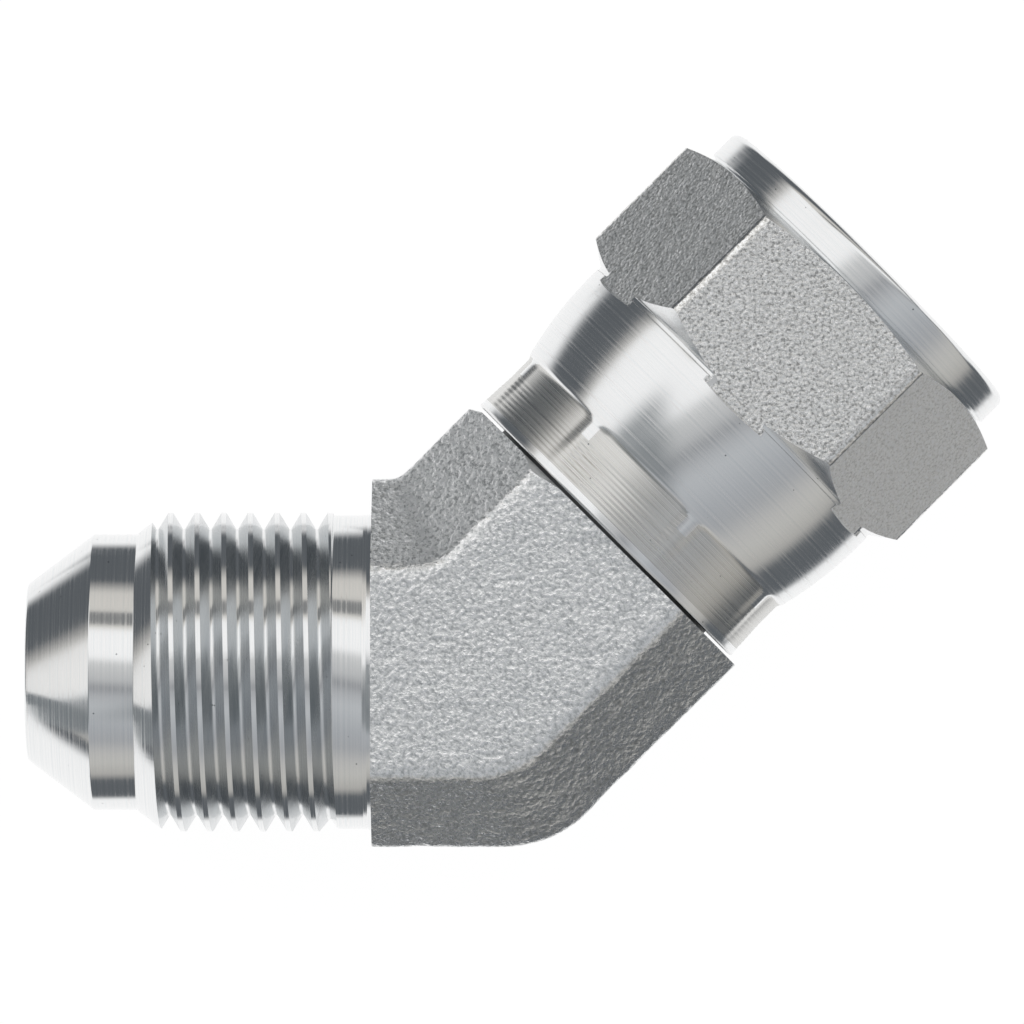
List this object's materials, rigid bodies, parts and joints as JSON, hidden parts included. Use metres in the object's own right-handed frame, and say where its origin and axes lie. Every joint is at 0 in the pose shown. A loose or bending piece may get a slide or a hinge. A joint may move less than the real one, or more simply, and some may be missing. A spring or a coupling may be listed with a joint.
{
  "type": "hydraulic elbow adapter",
  "caption": "45 degree hydraulic elbow: a forged steel body with a 37 degree flared, threaded male end and a crimped-on hexagonal swivel nut on the other arm.",
  "frame": {"origin": "where the axes of the two bores cross, inside the forging", "axes": "-X along the male arm towards its nose; +Z normal to the plane of the bend; the nut's arm rises from +X towards +Y at 45 degrees"},
  "size_m": [0.0581, 0.0425, 0.0228],
  "materials": {
    "forged_steel": "blasted forging with turned ends, zinc plated",
    "nut_steel": "satin turned steel with sheared hexagon flats, zinc plated"
  },
  "bodies": {
    "body": {"elbow_body": "forged_steel"},
    "nut": {"swivel_nut": "nut_steel"}
  },
  "joints": [
    {"name": "nut_swivel", "type": "hinge", "parent": "body", "child": "nut", "pos_m": [0.01202, 0.01202, 0], "axis": [0.7071, 0.7071, 0], "continuous": true}
  ]
}
